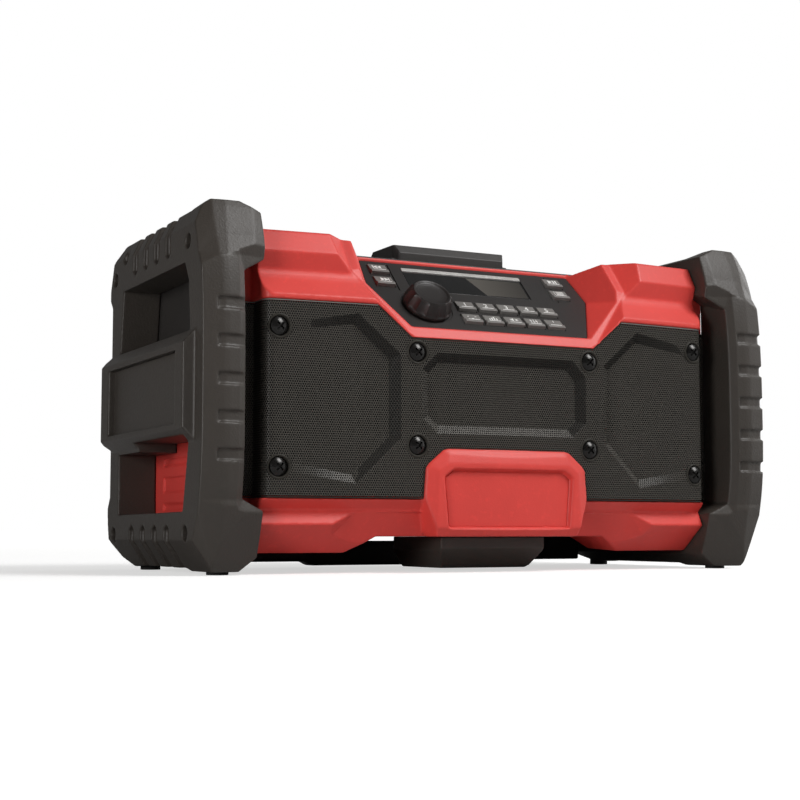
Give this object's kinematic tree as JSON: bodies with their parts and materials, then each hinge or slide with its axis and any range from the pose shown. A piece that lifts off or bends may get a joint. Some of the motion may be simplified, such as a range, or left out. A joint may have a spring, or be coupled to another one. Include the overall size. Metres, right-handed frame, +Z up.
{
  "type": "jobsite radio",
  "caption": "Rugged jobsite radio: bowed casing with stereo grille, sloped control panel, slide-out battery and folding antenna between two guard frames.",
  "frame": {"origin": "centre of the box on the plane that the feet stand on", "axes": "+X to the right as seen from the front, +Y to the back, +Z up"},
  "size_m": [0.415, 0.1888, 0.218],
  "materials": {
    "red_casing": "satin moulded plastic",
    "guard": "matt fine-textured moulded plastic",
    "black_casing": "satin moulded plastic",
    "grille": "black powder coat on perforated sheet",
    "screw": "blackened steel",
    "panel": "satin film",
    "display": "polished window",
    "light": "translucent",
    "key": "matt silicone rubber",
    "knob": "satin soft-touch",
    "board": "circuit board",
    "module": "moulded",
    "cone": "pulp paper",
    "basket": "pressed steel",
    "magnet": "ferrite",
    "steel": "polished steel",
    "foot": "soft rubber",
    "pack": "glass-filled plastic",
    "cell": "sleeved steel can",
    "latch": "satin moulded plastic"
  },
  "bodies": {
    "radio": {"front_casing": "red_casing", "rear_casing": "black_casing", "speaker_grille": "grille", "grille_screws": "screw", "badge_plate": "red_casing", "control_panel": "panel", "display_lens": "display", "light_strip": "light", "display_module": "module", "keypad_mat": "key", "keypad_board": "board", "encoder": "module", "main_board": "board", "power_supply": "module", "left_speaker_basket": "basket", "left_speaker_cone": "cone", "left_speaker_magnet": "magnet", "right_speaker_basket": "basket", "right_speaker_cone": "cone", "right_speaker_magnet": "magnet", "left_end_frame": "guard", "right_end_frame": "guard", "left_bumper_plate": "guard", "right_bumper_plate": "guard", "frame_bolts": "screw", "rubber_feet": "foot", "front_skid": "guard", "casing_screws": "screw", "battery_bay": "black_casing", "terminal_block": "module", "phone_well": "black_casing", "lid_pin": "steel", "mains_inlet": "black_casing", "socket_plate": "black_casing", "antenna_mount": "black_casing"},
    "knob": {"volume_knob": "knob"},
    "lid": {"phone_lid": "black_casing"},
    "battery": {"battery_shell": "pack", "battery_cells": "cell"},
    "release": {"battery_release": "latch"},
    "flap": {"socket_flap": "guard"},
    "antenna": {"antenna_rod": "steel"},
    "key_1": {"key_1": "key"},
    "key_2": {"key_2": "key"},
    "key_3": {"key_3": "key"},
    "key_4": {"key_4": "key"},
    "key_5": {"key_5": "key"},
    "key_lamp": {"key_lamp": "key"},
    "key_bass": {"key_bass": "key"},
    "key_mute": {"key_mute": "key"},
    "key_tone": {"key_tone": "key"},
    "key_power": {"key_power": "key"},
    "key_back": {"key_back": "key"},
    "key_forward": {"key_forward": "key"},
    "key_play": {"key_play": "key"},
    "key_mode": {"key_mode": "key"}
  },
  "joints": [
    {"name": "key_1_press", "type": "slide", "parent": "radio", "child": "key_1", "axis": [0, 0.7133, -0.7009], "range_m": [0, 0.0009], "stiffness_N_per_m": 900, "springref_m": -0.0006},
    {"name": "key_2_press", "type": "slide", "parent": "radio", "child": "key_2", "axis": [0, 0.7133, -0.7009], "range_m": [0, 0.0009], "stiffness_N_per_m": 900, "springref_m": -0.0006},
    {"name": "key_3_press", "type": "slide", "parent": "radio", "child": "key_3", "axis": [0, 0.7133, -0.7009], "range_m": [0, 0.0009], "stiffness_N_per_m": 900, "springref_m": -0.0006},
    {"name": "key_4_press", "type": "slide", "parent": "radio", "child": "key_4", "axis": [0, 0.7133, -0.7009], "range_m": [0, 0.0009], "stiffness_N_per_m": 900, "springref_m": -0.0006},
    {"name": "key_5_press", "type": "slide", "parent": "radio", "child": "key_5", "axis": [0, 0.7133, -0.7009], "range_m": [0, 0.0009], "stiffness_N_per_m": 900, "springref_m": -0.0006},
    {"name": "key_lamp_press", "type": "slide", "parent": "radio", "child": "key_lamp", "axis": [0, 0.7133, -0.7009], "range_m": [0, 0.0009], "stiffness_N_per_m": 900, "springref_m": -0.0006},
    {"name": "key_bass_press", "type": "slide", "parent": "radio", "child": "key_bass", "axis": [0, 0.7133, -0.7009], "range_m": [0, 0.0009], "stiffness_N_per_m": 900, "springref_m": -0.0006},
    {"name": "key_mute_press", "type": "slide", "parent": "radio", "child": "key_mute", "axis": [0, 0.7133, -0.7009], "range_m": [0, 0.0009], "stiffness_N_per_m": 900, "springref_m": -0.0006},
    {"name": "key_tone_press", "type": "slide", "parent": "radio", "child": "key_tone", "axis": [0, 0.7133, -0.7009], "range_m": [0, 0.0009], "stiffness_N_per_m": 900, "springref_m": -0.0006},
    {"name": "key_power_press", "type": "slide", "parent": "radio", "child": "key_power", "axis": [0, 0.7133, -0.7009], "range_m": [0, 0.0009], "stiffness_N_per_m": 900, "springref_m": -0.0006},
    {"name": "key_back_press", "type": "slide", "parent": "radio", "child": "key_back", "axis": [0, 0.7133, -0.7009], "range_m": [0, 0.0009], "stiffness_N_per_m": 900, "springref_m": -0.0006},
    {"name": "key_forward_press", "type": "slide", "parent": "radio", "child": "key_forward", "axis": [0, 0.7133, -0.7009], "range_m": [0, 0.0009], "stiffness_N_per_m": 900, "springref_m": -0.0006},
    {"name": "key_play_press", "type": "slide", "parent": "radio", "child": "key_play", "axis": [0, 0.7133, -0.7009], "range_m": [0, 0.0009], "stiffness_N_per_m": 900, "springref_m": -0.0006},
    {"name": "key_mode_press", "type": "slide", "parent": "radio", "child": "key_mode", "axis": [0, 0.7133, -0.7009], "range_m": [0, 0.0009], "stiffness_N_per_m": 900, "springref_m": -0.0006},
    {"name": "knob_turn", "type": "hinge", "parent": "radio", "child": "knob", "pos_m": [-0.0455, -0.06808, 0.16519], "axis": [0, -0.7133, 0.7009], "continuous": true},
    {"name": "lid_hinge", "type": "hinge", "parent": "radio", "child": "lid", "pos_m": [0, 0.0245, 0.206], "axis": [-1, 0, 0], "range_deg": [0, 100]},
    {"name": "battery_slide", "type": "slide", "parent": "radio", "child": "battery", "axis": [0, 1, 0], "range_m": [0, 0.1]},
    {"name": "release_press", "type": "slide", "parent": "battery", "child": "release", "axis": [0, -1, 0], "range_m": [0, 0.003], "stiffness_N_per_m": 900, "springref_m": -0.001},
    {"name": "flap_hinge", "type": "hinge", "parent": "radio", "child": "flap", "pos_m": [0.112, 0.0889, 0.0764], "axis": [1, 0, 0], "range_deg": [0, 110]},
    {"name": "antenna_lift", "type": "hinge", "parent": "radio", "child": "antenna", "pos_m": [-0.122, 0.0905, 0.192], "axis": [0, -1, 0], "range_deg": [0, 115]}
  ]
}
